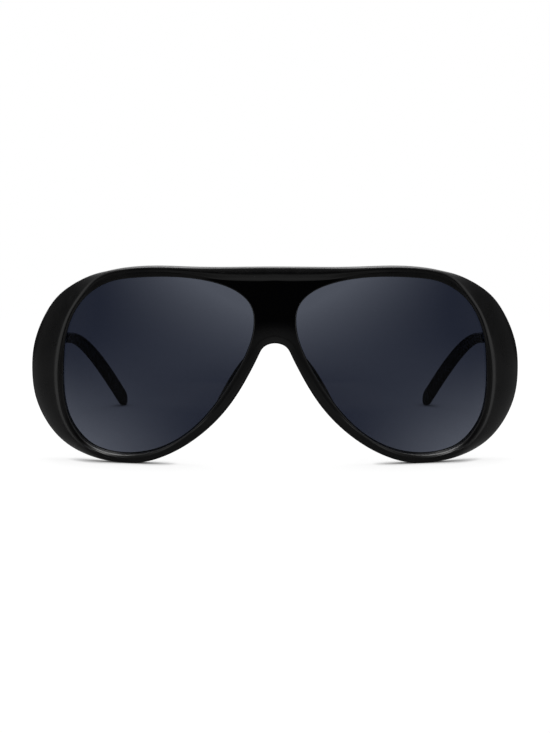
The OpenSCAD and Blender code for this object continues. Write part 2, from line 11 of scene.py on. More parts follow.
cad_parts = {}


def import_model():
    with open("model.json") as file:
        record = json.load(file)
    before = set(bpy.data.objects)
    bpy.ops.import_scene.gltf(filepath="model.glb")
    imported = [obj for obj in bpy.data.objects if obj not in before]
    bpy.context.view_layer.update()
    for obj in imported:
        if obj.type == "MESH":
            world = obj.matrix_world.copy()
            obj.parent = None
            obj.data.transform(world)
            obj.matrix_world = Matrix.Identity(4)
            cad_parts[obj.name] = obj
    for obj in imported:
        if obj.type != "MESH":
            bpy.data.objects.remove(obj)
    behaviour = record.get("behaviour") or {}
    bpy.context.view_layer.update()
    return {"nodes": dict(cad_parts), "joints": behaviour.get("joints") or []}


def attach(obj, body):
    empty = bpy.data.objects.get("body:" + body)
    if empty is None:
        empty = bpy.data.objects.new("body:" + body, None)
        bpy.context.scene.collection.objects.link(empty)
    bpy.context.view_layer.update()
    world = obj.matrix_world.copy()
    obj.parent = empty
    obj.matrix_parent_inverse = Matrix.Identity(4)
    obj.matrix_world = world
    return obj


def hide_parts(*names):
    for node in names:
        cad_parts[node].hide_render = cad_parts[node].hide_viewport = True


bl_info = {
    "name": "Oversized pilot sunglasses",
    "version": (1, 0, 0),
    "blender": (4, 5, 0),
    "location": "3D view > Sidebar > Sunglasses",
    "description": "Builds the front, lenses and temples of a pair of sunglasses, and finishes the rest",
    "category": "Object",
}

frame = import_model()

# Everything below is in millimetres until a mesh is finished
MM = 0.001

hinge_joint = next(j for j in frame["joints"] if j["name"] == "left_temple_fold")
hinge_place = Vector(hinge_joint["pos_m"]) / MM

# Lenses
lens_w = 59
lens_h = 54.3
lens_t = 2
curve_r = 200
# Front
bridge_w = 12.8
rim_t = 4.4
rim_w = 2.8
brow_h = 3.3
chin_h = 3.7
band_h = 3.3
recess_d = 0.9
roll_depth = 0.45
roll_h = 7
arch_r = 5.1
# Wings
wing_flare = 8.8
wing_depth = 16.7
wing_wall = 3
# Temples
temple_t = 4.4
temple_h = 16
hook_t = 2.9
hook_h = 3.6
tip_h = 6.6
temple_slope = math.radians(5.9)
straight_l = 67.2
hook_r = 100
hook_angle = math.radians(36.4)
tip_l = 6
inward_r = 286
inward_lead = 25
# Hinges
barrel_d = 2.8
barrel_h = 1.8
leaf_l = 8
leaf_t = 0.9
end_gap = 0.3
# Clearance of pieces that are let into a pocket
fit = 0.05

lens_x = (bridge_w + lens_w) / 2
lens_z = chin_h + lens_h / 2
half_w = bridge_w / 2 + lens_w + rim_w
front_h = chin_h + lens_h + brow_h
# Height of the middle of the ball on which the lenses and the front lie
curve_z = front_h * 0.555
# The wings and the temples meet this far behind the ball's foremost point
butt_y = 29
# The frame's origin is the middle of the depth, so the foremost point of the ball lies here
front_y = hinge_place.y - butt_y
hinge_x = hinge_place.x
hinge_z = hinge_place.z
# Seat of the hinge leaves
hinge_face_x = half_w + 2

# The stations of a half front run round a lens from the top of the bridge, over the brow, down the side,
# back along the bottom and up to the nose arch, then up the middle of the bridge to the first one
arch_at = 26
stations = 30
# The brow band is upright before this station, and it turns upright again over the last ones to the arch
brow_end = 4
arch_turn = 3
# The rear edge of a wing is crisp between these stations
wing_from = 6.5
wing_to = 17

# Lens opening: shares of half its width and half its height, from the lens centre
opening_shares = [
    (-0.810, 0.845), (-0.708, 0.897), (-0.539, 0.952), (-0.302, 0.991), (-0.031, 1.000), (0.224, 0.985),
    (0.444, 0.954), (0.622, 0.873), (0.773, 0.745), (0.891, 0.563), (0.978, 0.300), (1.000, 0.006),
    (1.002, -0.291), (0.959, -0.581), (0.844, -0.795), (0.697, -0.944), (0.484, -1.016), (0.258, -1.022),
    (0.021, -0.968), (-0.212, -0.844), (-0.421, -0.661), (-0.594, -0.440), (-0.732, -0.220), (-0.846, -0.013),
    (-0.926, 0.158), (-0.971, 0.295), (-0.991, 0.396), (-1.000, 0.514), (-0.983, 0.643), (-0.915, 0.761),
]
# Outer edge of the rim: shares of the half width from the middle and of the height from the bottom
edge_shares = [
    (0, 0.998), (0.125, 0.997), (0.250, 0.995), (0.381, 0.996), (0.513, 1), (0.638, 0.993), (0.740, 0.973),
    (0.820, 0.936), (0.893, 0.842), (0.948, 0.747), (0.985, 0.627), (1.007, 0.502), (1.008, 0.375),
    (0.990, 0.253), (0.945, 0.142), (0.866, 0.062), (0.750, 0.011), (0.638, 0), (0.528, 0.028),
    (0.414, 0.091), (0.311, 0.177), (0.227, 0.273), (0.164, 0.371), (0.114, 0.468), (0.073, 0.556),
    (0.052, 0.599), (0, 0.620),
]
# Width of the raised band and of its front facet: shares of the band height, which end at the nose arch
band_shares = [
    1.24, 1.23, 1.12, 0.68, 0.62, 0.60, 0.56, 0.52, 0.46, 0.50, 0.56, 0.58, 0.56, 0.54, 0.50, 0.42, 0.42,
    0.52, 0.56, 0.66, 0.73, 0.73, 0.73, 0.73, 0.73, 0.73, 0.73, 0.73, 0.73, 0.73,
]
facet_shares = [
    0.60, 0.60, 0.55, 0.40, 0.28, 0.24, 0.24, 0.30, 0.38, 0.43, 0.49, 0.50, 0.49, 0.46, 0.41, 0.33, 0.26,
    0.24, 0.27, 0.27, 0.27, 0.27, 0.27, 0.27, 0.27, 0.27, 0.27, 0.27, 0.27, 0.27,
]
# Depths below the ball, as shares of the recess: the lip, the foot of the band, its step and the ridge
lip_shares = [
    1, 1, 1, 0.75, 0.55, 0.50, 0.50, 0.50, 0.45, 0.45, 0.50, 0.50, 0.50, 0.50, 0.45, 0.45, 0.50, 0.50,
    0.50, 0.50, 0.50, 0.50, 0.60, 0.80, 0.95, 1, 1, 1, 1, 1,
]
plate_shares = [
    1, 1, 1, 0.60, 0.35, 0.30, 0.30, 0.30, 0.30, 0.30, 0.30, 0.25, 0.20, 0.15, 0.12, 0.12, 0.14, 0.18,
    0.22, 0.25, 0.25, 0.25, 0.40, 0.70, 0.95, 1, 1, 1, 1, 1,
]
step_shares = [0.14, 0.14, 0.13, 0.04] + [0] * 26
ridge_shares = [0] * 22 + [0.20, 0.60, 0.90, 1, 1, 1, 1, 0]
# How much the surface rolls back towards the nose arch
roll_shares = [0] * 20 + [0.20, 0.60, 0.95, 1, 1, 1, 1, 1, 1, 1]
# Breadth of the wing, as a share of the flare
flare_shares = [0] * 7 + [0.20, 0.42, 0.70, 0.92, 1, 0.95, 0.75, 0.55, 0.30, 0.10] + [0] * 13
# Rear edge seen from the ridge: shares of the flare outwards and upwards, and of the depth
rear_shares = (
    [(0, 0, 0)] * 7
    + [
        (0.24, 0.03, 0.14), (0.68, 0.055, 0.58), (0.862, -0.05, 0.94), (0.954, -0.05, 1.05),
        (0.949, -0.03, 0.92), (0.875, -0.235, 0.70), (0.643, -0.305, 0.54), (0.389, -0.292, 0.40),
        (0.169, -0.207, 0.24), (0.055, -0.09, 0.07),
    ]
    + [(0, 0, 0)] * 13
)
# Thickness of the wing's wall
wall_shares = [0] * 7 + [0.20, 0.72, 0.80, 1, 1.20, 1.20, 0.95, 0.75, 0.45, 0.15] + [0] * 13
# Slope of the opening's wall where the lens stands back, at the lower outer corner
bevel_shares = [0] * 11 + [0.15, 0.35, 0.65, 0.95, 1, 1, 0.75, 0.35, 0.10] + [0] * 10
# Stations whose inner wall is the flat seat of the hinge
seat_shares = [0] * 9 + [1, 1, 1] + [0] * 18
# Places of the five outer rails of a wing between the ridge and the rear edge
wing_out_shares = [0.20, 0.42, 0.64, 0.84, 1]
wing_back_shares = [0.18, 0.40, 0.62, 0.83, 1]
# The side is divided into this many spans between the front and the back of the rim
side_spans = 9
# The wing's wall bulges a little over the straight line between ridge and rear edge, most at this place
bulge_at = 0.75
bulge_share = 0.08
# Wall at the middle rail, and depths of the middle and the near rail, as shares
mid_wall_share = 0.9
mid_share = 0.55
near_share = 0.5

# Rim section: lip, groove for the lens and rounded edges
lip_w = 0.4
lip_round = 0.3
edge_round = 0.35
# Where the wall of the opening slopes, the lip is wider and rounder
bevel_w = 0.4
bevel_lip_share = 1.3
bevel_round = 0.6
# The facet on top of the brow band is steeper, and the ridge between the rim and the wing is rounder
brow_round = 0.36
wing_round = 0.5
# The brow's rounding grows this much faster than the step under its band
brow_gain = 7.2
# Extra points on the roundings of the lip and the shoulder: places and depths as shares
lip_mid_share = 0.45
shoulder_share = 0.4
brow_shoulder_share = 0.13
tight_share = 0.15
brow_tight_share = 0.4
arc_share = 0.37
step_w = 0.25
groove_d = 0.9
groove_y = 1.65
groove_fit = 0.15
back_round = 0.3
back_lip_w = 0.75
# The rear lip reaches this much further in over the lens than the front one
rear_in = 0.1
root_share = 0.2
# Sharpness of the step under the brow band and of the wing's rear edge
step_crease = 0.5
rear_crease = 0.85

# Hinge pocket: the notch round the barrels, the screw's head, and how far the cutter reaches past the faces
notch_gap = 0.25
screw_head_h = 0.6
over_face = 2
over_end = 1
stack_h = 3 * barrel_h + 2 * 0.08

# Temple: its line starts at the open end behind the wing
temple_x = hinge_face_x + temple_t / 2
drift_w = 1.4
drift_l = 32
taper_l = 50
thin_l = 42
lean_share = 0.2
lean_l = 28
square_share = 3.2
# Its many sides keep inside the CAD's fewer ones at this share of the height
slim_share = 0.99
# Share of the tip's rounding that its thickness takes part in
round_share = 0.6
hook_l = hook_r * hook_angle
temple_l = straight_l + hook_l + tip_l
end_r = tip_h / 2

# Closer points of a mesh are one, and edges that turn more than this angle stay sharp
merge_mm = 0.00001
sharp_angle = math.radians(38)


def as_vector(value):
    """A pair as a vector, or a number as one that holds it twice"""
    return Vector(value) if isinstance(value, tuple) else Vector((value,) * 2)


def cage(points):
    """Points of the cubic spline that passes through the given ones"""
    vectors = [as_vector(p) for p in points]
    count = len(vectors)
    return [
        vectors[i] - (vectors[i - 1] - 2 * vectors[i] + vectors[(i + 1) % count]) / 6
        for i in range(count)
    ]


def along(points, u):
    """Place on the closed cubic spline at u"""
    i = math.floor(u)
    t = u - i
    weights = (
        (1 - t) ** 3,
        3 * t**3 - 6 * t * t + 4,
        1 + 3 * t + 3 * t * t - 3 * t**3,
        t**3,
    )
    total = Vector([0] * len(points[0]))
    for k, weight in enumerate(weights):
        total += points[(i - 1 + k) % len(points)] * weight / 6
    return total


def mix(a, b, t):
    """Place between a and b at the share t"""
    return a + (b - a) * t


def clamped(t):
    """t kept between 0 and 1"""
    return max(0, min(1, t))


def eased(t):
    """Smooth step from 0 to 1"""
    c = clamped(t)
    return c * c * (3 - 2 * c)


def mirrored(point):
    """The point's twin beyond the middle plane"""
    return (-point[0], point[1])


opening_cage = cage(opening_shares)
edge_cage = cage(
    [mirrored(edge_shares[i]) for i in (3, 2, 1)]
    + edge_shares
    + [mirrored(edge_shares[arch_at - i]) for i in (1, 2, 3)]
)
band_cage = cage(band_shares)
facet_cage = cage(facet_shares)
lip_cage = cage(lip_shares)
plate_cage = cage(plate_shares)
step_cage = cage(step_shares)
ridge_cage = cage(ridge_shares)
roll_cage = cage(roll_shares)
flare_cage = cage(flare_shares)
rear_cage = cage(rear_shares)
wall_cage = cage(wall_shares)
seat_cage = cage(seat_shares)
bevel_cage = cage(bevel_shares)


def ball(p, o):
    """Depth in Y of a point of the front that lies the depth o below the ball"""
    return curve_r - math.sqrt((curve_r - o) ** 2 - p[0] ** 2 - (p[1] - curve_z) ** 2)


def opening(u):
    """Point of the lens opening at station u"""
    share = along(opening_cage, u)
    return Vector((lens_x + share.x * lens_w / 2, lens_z + share.y * lens_h / 2))


def opening_out(u):
    """Outward normal of the lens opening at station u"""
    d = opening(u + 0.1) - opening(u - 0.1)
    return Vector((-d.y, d.x)).normalized()


arch_z = front_h * edge_shares[arch_at][1]
bridge_low = arch_z + band_h * band_shares[arch_at]
bridge_high = front_h - band_h * band_shares[0]


def in_bridge(u):
    """Whether station u lies between the nose arch and the top of the bridge"""
    return u > arch_at


def edge(u):
    """Outer edge of the rim, which runs up the middle plane beyond the nose arch"""
    if in_bridge(u):
        return Vector((0, mix(bridge_low, bridge_high, (u - arch_at) / (stations - arch_at))))
    share = along(edge_cage, u + 3)
    return Vector((share.x * half_w, share.y * front_h))


def inward(u, a, b):
    """Direction from the outer edge into the rim: down under the brow, up over the nose arch"""
    if u < brow_end:
        return Vector((0, -1))
    turn = eased((u - arch_at + arch_turn) / arch_turn)
    return mix((a - b).normalized(), Vector((0, 1)), turn).normalized()


def rolled(u, p, b):
    """How far the point p of the section with the outer edge b rolls back towards the nose arch"""
    arch = (p - Vector((0, arch_z - arch_r))).length - arch_r
    d = arch if in_bridge(u) else min(arch, (p - b).length)
    return roll_depth * max(0, along(roll_cage, u).x) * (1 - clamped(d / roll_h)) ** 2


def on_ball(p, o):
    """Point of the front over p, at the depth o below the ball"""
    return Vector((p.x, ball(p, o), p.y))


def section(u):
    """Section of the half front at station u, from the lens groove over the front, the wing and the back"""
    a, m, b = opening(u), opening_out(u), edge(u)
    n = inward(u, a, b)
    off = 0 if in_bridge(u) else 1
    on_brow = clamped(brow_gain * along(step_cage, u).x)
    band = off * band_h * along(band_cage, u).x
    facet = off * band_h * along(facet_cage, u).x
    step_in = off * min(step_w, band - facet)
    round_in = off * edge_round
    sloped = clamped(along(bevel_cage, u).x)
    bevel = a + m * bevel_w * sloped
    lip = bevel + m * mix(lip_w, lip_w * bevel_lip_share, sloped)
    lip_turn = mix(lip_round, bevel_round, sloped)
    foot = b + n * band
    on_wing = clamped(2 * along(flare_cage, u).x)
    turn = mix(mix(edge_round, brow_round, on_brow), wing_round, on_wing)
    lip_o = recess_d * along(lip_cage, u).x
    plate_o = recess_d * along(plate_cage, u).x
    step_o = recess_d * max(0, along(step_cage, u).x)
    ridge_o = recess_d * max(0, along(ridge_cage, u).x)
    one = mix(lip, foot, 1 / 3)
    two = mix(lip, foot, 2 / 3)
    brim = b + n * facet
    shoulder = b + n * facet * mix(shoulder_share, brow_shoulder_share, on_brow)
    drop = turn * mix(mix(tight_share, brow_tight_share, on_brow), arc_share, on_wing)
    edge_o = ridge_o + rolled(u, b, b) + turn
    back_o = rim_t - edge_round
    groove_back = groove_y + lens_t + 2 * fit
    head = [
        (a, groove_y),
        (bevel, lip_o + lip_turn),
        (mix(bevel, lip, lip_mid_share), lip_o + lip_turn * mix(tight_share, arc_share, sloped)),
        (lip, lip_o + rolled(u, lip, b)),
        (one, mix(lip_o, plate_o, 1 / 3) + rolled(u, one, b)),
        (two, mix(lip_o, plate_o, 2 / 3) + rolled(u, two, b)),
        (foot, plate_o + rolled(u, foot, b)),
        (foot - n * step_in, plate_o - step_o + rolled(u, foot, b)),
        (brim, ridge_o + rolled(u, brim, b)),
        (shoulder, ridge_o + rolled(u, shoulder, b) + drop),
        (b, edge_o),
    ]
    root = b - n * off * root_share * wing_flare * max(0, along(flare_cage, u).x)
    tail = [
        (root, back_o),
        (root + n * round_in, rim_t),
        (mix(root + n * round_in, a + m * back_lip_w, 0.5), rim_t),
        (a + m * back_lip_w, rim_t),
        (a + m * (back_round - rear_in), rim_t),
        (a - m * rear_in, rim_t - back_round),
        (a - m * rear_in, groove_back),
        (a + m * groove_d, groove_back),
        (a + m * groove_d, groove_y),
    ]
    points = [on_ball(*q) for q in head] + wing(u, b, edge_o, back_o) + [on_ball(*q) for q in tail]
    for p in points:
        p.x = 0 if abs(p.x) < 0.0001 else p.x
        p.z = max(0, p.z)
    return points


def front_crease(u, k):
    """Sharpness of rail k after station u: crisp groove, step under the brow band and rear wing edge"""
    if k in (0, 25, 26, 27):
        return 1
    if k in (6, 7):
        return 0 if u >= arch_at else step_crease
    if k == 8:
        return step_crease * clamped(brow_end - 0.5 - u)
    if k in (15, 16):
        return rear_crease * clamped(min(u - wing_from, wing_to - u) / 2)
    return 0


def to_seat(p, out):
    """Thickness of the wall between a point of the outside and the flat seat of the hinge"""
    return (p[0] - hinge_face_x) / max(out.x, 0.5)


def wing(u, b, edge_o, back_o):
    """Rails of the side wall: five outer ones to the rear edge of the wing and three inner ones"""
    flare = wing_flare * max(0, along(flare_cage, u).x)
    share = along(rear_cage, u)
    on = 1 if flare > fit else 0
    out = (b - Vector((lens_x, lens_z))).normalized()
    far = b + on * Vector((share.x, share.y)) * wing_flare
    reach = on * share.z * wing_depth
    wide = mix(b, far, bulge_at) + out * bulge_share * flare
    seat = clamped(along(seat_cage, u).x)
    plain = wing_wall * max(0, along(wall_cage, u).x)
    butt_face = butt_y - end_gap / 2
    points = []
    for i, s in enumerate(wing_out_shares):
        p = (
            b * (s - 1) * (s - bulge_at) / bulge_at
            + wide * s * (1 - s) / (bulge_at * (1 - bulge_at))
            + far * s * (s - bulge_at) / (1 - bulge_at)
        )
        o = mix(edge_o, back_o, (i + 1) / side_spans)
        points.append(Vector((p.x, min(butt_face, ball(b, o) + reach * wing_back_shares[i]), p.y)))
    wall = on * mix(plain, to_seat(far, out), seat)
    mid_wall = on * mix(plain * mid_wall_share, max(wing_wall / 2, to_seat(points[2], out)), seat)
    back = far - out * wall
    mid = Vector((points[2].x, points[2].z)) - out * mid_wall
    root = b + out * root_share * flare
    near = mix(root, mid, 0.5)
    rear_o = mix(edge_o, back_o, (len(wing_out_shares) + 1) / side_spans)
    y_back = min(butt_face, ball(b, rear_o) + reach)
    y_mid = mix(ball(b, back_o), y_back, mid_share)
    y_near = mix(ball(root, back_o), y_mid, near_share)
    for p, y in ((back, y_back), (mid, y_mid), (near, y_near)):
        points.append(Vector((p.x, y, p.y)))
    return points


def temple_line(s):
    """Place of a temple's middle and its downward angle at the length s from its front end"""
    bent = clamped((s - straight_l) / hook_l) * hook_angle
    past = max(0, s - straight_l - hook_l)
    a = temple_slope + bent
    flat = min(s, straight_l)
    y = (
        butt_y + end_gap / 2 + flat * math.cos(temple_slope)
        + hook_r * (math.sin(a) - math.sin(temple_slope)) + past * math.cos(a)
    )
    z = (
        -flat * math.sin(temple_slope)
        - hook_r * (math.cos(temple_slope) - math.cos(a)) - past * math.sin(a)
    )
    lead = max(0, s - straight_l + inward_lead)
    x = temple_x - drift_w * eased(s / drift_l) - lead * lead / (2 * inward_r)
    return Vector((x, y, z + hinge_z)), a


def end_share(s):
    """Share of a temple's height that its round tip leaves at the length s"""
    return math.sqrt(max(0, 1 - (max(0, s - temple_l + end_r) / end_r) ** 2))


def temple_height(s):
    """Height of a temple before its tip is rounded"""
    if s < taper_l:
        return hook_h + (temple_h - hook_h) * (1 - s / taper_l) ** 2
    return hook_h + (tip_h - hook_h) * eased((s - straight_l) / (temple_l - straight_l))


def power(v, e):
    """Power of the size of v, with the sign of v"""
    return math.copysign(abs(v) ** e, v)


def temple_loop(s, sides):
    """Squarish outline of a temple at the length s, flat towards the wearer and leaning out at the front"""
    middle, a = temple_line(s)
    h = temple_height(s) / 2 * end_share(s) * slim_share
    t = mix(temple_t, hook_t, eased(s / thin_l)) / 2 * mix(1, end_share(s), round_share)
    tilt = lean_share * (1 - eased(s / lean_l))
    turn = a * eased(s / taper_l)
    points = []
    for k in range(sides):
        g = 2 * math.pi * k / sides
        across = t * power(math.cos(g), 2 / square_share)
        up = h * power(math.sin(g), 2 / square_share)
        slant = -tilt * up if across > 0 else 0
        points.append(middle + Vector((across + slant, up * math.sin(turn), up * math.cos(turn))))
    return points


def loft(loops, ring=False, poles=False, crease=None):
    """Mesh through loops of points: the first loop is a polygon's edge, and each next one is extruded from it

    A ring closes from the last loop to the first. Poles are end loops whose points are one, and other ends
    get a face. crease gives the sharpness of the edge from point k of loop i to its twin on the next loop.
    """
    bm = bmesh.new()
    layer = bm.edges.layers.float.new("crease_edge")
    first = [bm.verts.new(p) for p in loops[0]]
    count = len(first)
    edges = [bm.edges.new((first[k], first[(k + 1) % count])) for k in range(count)]
    row = first
    for i, points in enumerate(loops[1:] + ([loops[0]] if ring else [])):
        out = bmesh.ops.extrude_edge_only(bm, edges=edges)["geom"]
        fresh = {v for v in out if isinstance(v, bmesh.types.BMVert)}
        last = row
        row = [next(e.other_vert(v) for e in v.link_edges if e.other_vert(v) in fresh) for v in last]
        if crease:
            for k in range(count):
                bm.edges.get((last[k], row[k]))[layer] = crease(i, k)
        edges = [bm.edges.get((row[k], row[(k + 1) % count])) for k in range(count)]
        for v, p in zip(row, points):
            v.co = p
    if not ring and not poles:
        bmesh.ops.contextual_create(bm, geom=first)
        bmesh.ops.contextual_create(bm, geom=row)
    return close_mesh(bm)


def close_mesh(bm):
    """Merges doubled points and turns the normals outward"""
    bmesh.ops.remove_doubles(bm, verts=bm.verts[:], dist=merge_mm)
    bmesh.ops.recalc_face_normals(bm, faces=bm.faces[:])
    return bm


def smooth_shading(bm):
    """Smooth faces, apart from sharp edges"""
    for face in bm.faces:
        face.smooth = True
    for e in bm.edges:
        e.smooth = len(e.link_faces) < 2 or e.calc_face_angle(0) < sharp_angle


def make_object(bm, name, place=Vector((0, front_y, 0))):
    """Object in metres at the origin, from a mesh in millimetres before the given place"""
    bmesh.ops.translate(bm, verts=bm.verts[:], vec=place)
    bmesh.ops.scale(bm, verts=bm.verts[:], vec=Vector((MM, MM, MM)))
    smooth_shading(bm)
    mesh = bpy.data.meshes.new(name)
    bm.to_mesh(mesh)
    bm.free()
    piece = bpy.data.objects.new(name, mesh)
    bpy.context.scene.collection.objects.link(piece)
    return piece


def mirror_bm(bm):
    """Turns a left piece into a right one"""
    bmesh.ops.scale(bm, verts=bm.verts[:], vec=Vector((-1, 1, 1)))
    bmesh.ops.reverse_faces(bm, faces=bm.faces[:])


def apply_modifiers(piece):
    """Gives a piece the mesh that its modifiers make"""
    graph = bpy.context.evaluated_depsgraph_get()
    mesh = bpy.data.meshes.new_from_object(piece.evaluated_get(graph))
    piece.modifiers.clear()
    piece.data = mesh
    mesh.name = piece.name


def subdivide(piece, levels):
    """Smooths a piece's cage, apart from its creases"""
    modifier = piece.modifiers.new("Smooth skin", "SUBSURF")
    modifier.levels = levels
    modifier.render_levels = levels
    apply_modifiers(piece)


def cut(piece, cutter):
    """Cuts a pocket with another mesh, which is then deleted"""
    modifier = piece.modifiers.new("Pocket", "BOOLEAN")
    modifier.operation = "DIFFERENCE"
    modifier.solver = "EXACT"
    modifier.object = cutter
    apply_modifiers(piece)
    bpy.data.objects.remove(cutter)


def cut_pockets(piece, way, sides):
    """Cuts the pockets of the hinges on the given sides, and marks the sharp edges of the result"""
    for side in sides:
        for cutter in pocket_cutters(side, way):
            cut(piece, cutter)
    bm = bmesh.new()
    bm.from_mesh(piece.data)
    smooth_shading(bm)
    bm.to_mesh(piece.data)
    bm.free()


def pocket_cutters(side, way):
    """Cutters of a hinge's pocket and notch: side 1 is the left, way 1 lies behind the hinge axis"""
    height = stack_h + screw_head_h + 2 * notch_gap
    radius = barrel_d / 2 + notch_gap
    notch = bmesh.new()
    lift = Matrix.Translation((0, 0, height / 2 - stack_h / 2 - notch_gap))
    bmesh.ops.create_cone(
        notch, cap_ends=True, segments=48, radius1=radius, radius2=radius, depth=height, matrix=lift
    )
    pocket = bmesh.new()
    depth = leaf_t + fit + over_face
    length = leaf_l + fit + over_end
    middle = Vector((hinge_face_x - hinge_x - over_face + depth / 2, way * (length / 2 - over_end), 0))
    size = Matrix.Diagonal((depth, length, stack_h + 2 * fit, 1))
    bmesh.ops.create_cube(pocket, size=1, matrix=Matrix.Translation(middle) @ size)
    if way > 0:
        # The temple's leaf lies along its slope
        turn = Matrix.Rotation(-temple_slope, 3, "X")
        bmesh.ops.rotate(pocket, verts=pocket.verts[:], cent=(0, 0, 0), matrix=turn)
    cutters = []
    for name, part in (("notch", notch), ("pocket", pocket)):
        bmesh.ops.translate(part, verts=part.verts[:], vec=Vector((hinge_x, butt_y, hinge_z)))
        if side < 0:
            mirror_bm(part)
        cutters.append(make_object(part, name))
    return cutters


def side_name(side):
    """The wearer's side: 1 is the left"""
    return "left" if side > 0 else "right"


def coat(piece, material):
    """Makes the material an object's only one"""
    piece.data.materials.clear()
    piece.data.materials.append(material)


def put(piece, body, slot, material, *nodes):
    """Finishes a piece: its material, its body and the CAD nodes that it replaces; the colour slot is not
    used
    """
    coat(piece, material)
    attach(piece, body)
    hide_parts(*nodes)


# Nodes


def linear(hex_colour):
    """Linear colour of an sRGB hex value"""
    channels = [int(hex_colour[i : i + 2], 16) / 255 for i in (1, 3, 5)]
    return tuple(c / 12.92 if c <= 0.04045 else ((c + 0.055) / 1.055) ** 2.4 for c in channels) + (1,)


def add(tree, kind, settings=None, **inputs):
    """Adds a node

    settings are its properties. inputs are its sockets, by name or by an underscore and a number, and each
    gets a constant or another node's socket.
    """
    node = tree.nodes.new(kind)
    for key, value in (settings or {}).items():
        setattr(node, key, value)
    for key, value in inputs.items():
        socket = node.inputs[int(key[1:]) if key[0] == "_" else key.replace("_", " ")]
        if isinstance(value, bpy.types.NodeSocket):
            tree.links.new(value, socket)
        else:
            socket.default_value = value
    return node


def calc(tree, operation, *values):
    """Result of a Math node"""
    inputs = {f"_{i}": value for i, value in enumerate(values)}
    return add(tree, "ShaderNodeMath", {"operation": operation}, **inputs).outputs[0]


def times(tree, first, *others):
    """Product of the given sockets"""
    for other in others:
        first = calc(tree, "MULTIPLY", first, other)
    return first


def most(tree, first, *others):
    """Greatest of the given sockets"""
    for other in others:
        first = calc(tree, "MAXIMUM", first, other)
    return first


def ramp(tree, source, low, high, start, end, kind="SMOOTHSTEP"):
    """Change from start to end as the source goes from low to high"""
    node = add(
        tree, "ShaderNodeMapRange", {"interpolation_type": kind},
        Value=source, From_Min=low, From_Max=high, To_Min=start, To_Max=end,
    )
    return node.outputs["Result"]


def parts(tree, vector):
    """X, Y and Z of a vector"""
    return add(tree, "ShaderNodeSeparateXYZ", Vector=vector).outputs


def heading(tree, x, y):
    """X and Y of a level direction, scaled to the length 1"""
    level = add(tree, "ShaderNodeCombineXYZ", X=x, Y=y).outputs[0]
    unit = add(tree, "ShaderNodeVectorMath", {"operation": "NORMALIZE"}, _0=level).outputs["Vector"]
    found = parts(tree, unit)
    return found["X"], found["Y"]


def noise(tree, place, per_mm, detail, roughness):
    """Noise with so many grains to the millimetre"""
    node = add(
        tree, "ShaderNodeTexNoise", Vector=place, Scale=per_mm / MM, Detail=detail, Roughness=roughness
    )
    return node.outputs["Fac"]


# Materials


def new_material(name):
    """A material, its empty tree and the Object coordinates in it"""
    material = bpy.data.materials.new(name)
    material.use_nodes = True
    tree = material.node_tree
    tree.nodes.clear()
    return material, tree, add(tree, "ShaderNodeTexCoord").outputs["Object"]


def moulded_black(name, roughness, polish=None):
    """Injection-moulded cellulose propionate: deep black, tumbled to a soft gloss with a faint ripple"""
    material, tree, place = new_material(name)
    # The mould leaves a ripple about 4 mm long and a few microns high, and the tumbling a grain of 0.15 mm
    ripple = noise(tree, place, 0.25, 2, 0.45)
    grain = noise(tree, place, 6.5, 3, 0.6)
    rough = ramp(tree, ripple, 0.3, 0.7, roughness * 0.9, roughness * 1.1, "LINEAR")
    if polish is not None:
        rough = polish(tree, place, rough)
    wave = add(tree, "ShaderNodeBump", Strength=0.05, Distance=0.2 * MM, Height=ripple)
    skin = add(
        tree, "ShaderNodeBump", Strength=0.06, Distance=0.02 * MM, Height=grain, Normal=wave.outputs["Normal"]
    )
    tint = add(
        tree, "ShaderNodeMix", {"data_type": "RGBA"}, Factor=grain, _6=linear("#020203"), _7=linear("#040405")
    )
    shader = add(
        tree, "ShaderNodeBsdfPrincipled",
        Base_Color=tint.outputs[2], Roughness=rough, IOR=1.475, Normal=skin.outputs["Normal"],
    )
    add(tree, "ShaderNodeOutputMaterial", Surface=shader.outputs["BSDF"])
    return material


def polished_bridge(tree, place, rough):
    """Roughness of the front, whose recessed bridge plate is polished like a piano's lid"""
    axes = parts(tree, place)
    near = ramp(tree, calc(tree, "ABSOLUTE", axes["X"]), 17 * MM, 24 * MM, 1, 0)
    above = ramp(tree, axes["Z"], 40 * MM, 46 * MM, 0, 1)
    below = ramp(tree, axes["Z"], 57.9 * MM, 58.1 * MM, 1, 0, "LINEAR")
    share = times(tree, near, above, below)
    return add(tree, "ShaderNodeMix", {"data_type": "FLOAT"}, Factor=share, _2=rough, _3=0.06).outputs[0]


